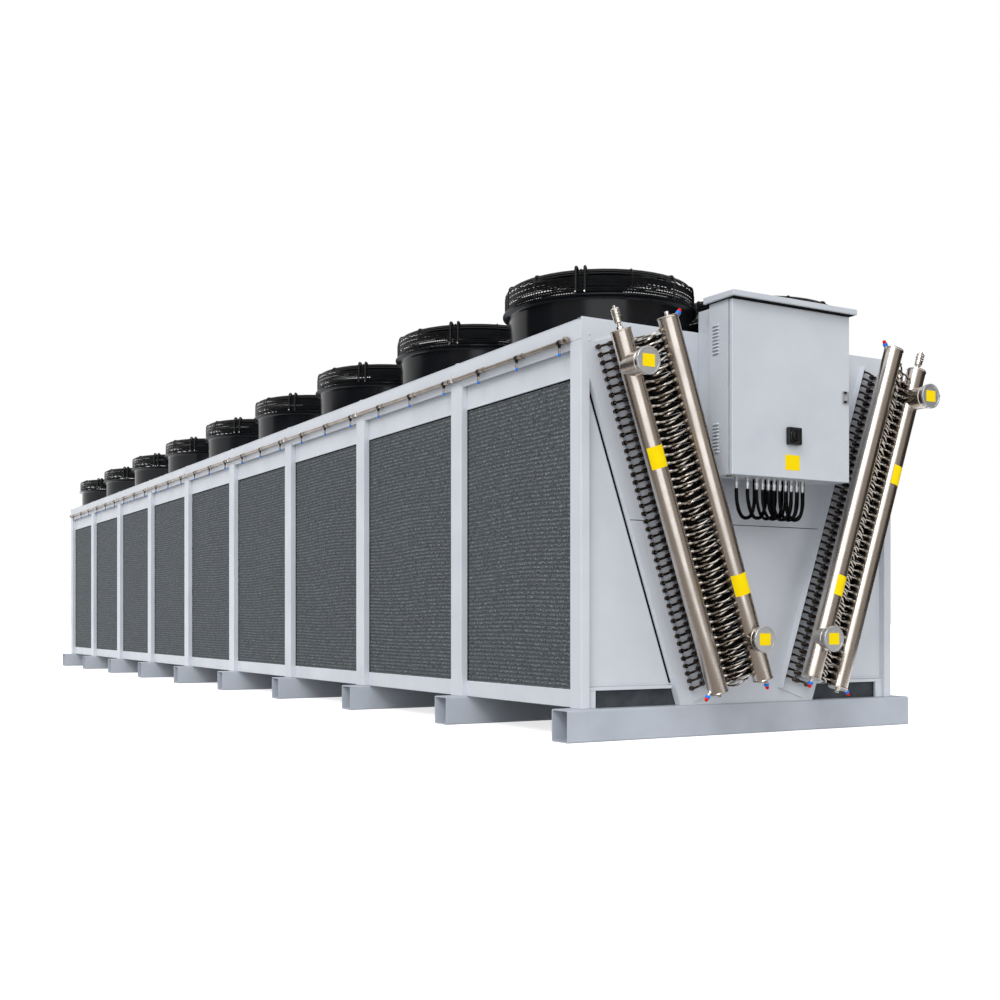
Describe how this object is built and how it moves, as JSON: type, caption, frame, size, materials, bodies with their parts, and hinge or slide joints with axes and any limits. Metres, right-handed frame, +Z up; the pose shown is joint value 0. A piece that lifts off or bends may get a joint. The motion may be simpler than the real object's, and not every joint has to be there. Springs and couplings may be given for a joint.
{
  "type": "dry cooler",
  "caption": "Long outdoor dry cooler: slanted coils with steel headers in a V, wet pads along the sides, two rows of caged roof fans, control cabinet, on cross skids.",
  "frame": {"origin": "on the floor, under the middle of the machine's bounding box", "axes": "+X to the right seen from the header end, +Y along the machine away from the headers, +Z up"},
  "size_m": [2.262, 12.3949, 2.335],
  "materials": {
    "frame_paint": "satin",
    "skid_paint": "satin",
    "black_paint": "satin",
    "black_plastic": "matte",
    "wet_pad": "matte",
    "fins": "satin",
    "bronze_tube": "satin",
    "stainless": "brushed",
    "bright_steel": "polished",
    "cable": "matte"
  },
  "bodies": {
    "cooler": {"base_skids": "skid_paint", "posts_left": "frame_paint", "posts_right": "frame_paint", "bottom_rails": "frame_paint", "spandrel_panels": "frame_paint", "wet_pads_left": "wet_pad", "wet_pads_right": "wet_pad", "roof_fascia_left": "frame_paint", "roof_fascia_right": "frame_paint", "fan_deck": "frame_paint", "fan_shrouds_left": "black_paint", "fan_shrouds_right": "black_paint", "fan_guards_left": "black_paint", "fan_guards_right": "black_paint", "fan_rotors_left": "black_plastic", "fan_rotors_right": "black_plastic", "front_end_plate": "frame_paint", "back_end_plate": "frame_paint", "corner_panels": "frame_paint", "bottom_trough": "frame_paint", "coil_left": "fins", "coil_right": "fins", "return_bends_left": "bronze_tube", "return_bends_right": "bronze_tube", "outer_header_left": "stainless", "outer_header_right": "stainless", "inner_header_left": "stainless", "inner_header_right": "stainless", "feeder_tubes_left": "stainless", "feeder_tubes_right": "stainless", "air_vents": "bright_steel", "drain_valves": "bright_steel", "spray_pipe_left": "stainless", "spray_pipe_right": "stainless", "cabinet_standoff": "frame_paint", "cabinet_body": "frame_paint", "cabinet_roof": "frame_paint", "hinge_pins": "bright_steel", "cable_glands": "bright_steel", "control_cables": "cable"},
    "door": {"cabinet_door": "frame_paint", "door_lock": "black_plastic", "isolator_base": "black_plastic"},
    "isolator": {"isolator_handle": "black_plastic"}
  },
  "joints": [
    {"name": "door_hinge", "type": "hinge", "parent": "cooler", "child": "door", "pos_m": [-0.37852, -6.1325, 1.279], "axis": [0, 0, -1], "range_deg": [0, 120]},
    {"name": "isolator_turn", "type": "hinge", "parent": "door", "child": "isolator", "pos_m": [0, -6.1925, 1.486], "axis": [0, -1, 0], "range_deg": [0, 90]}
  ]
}
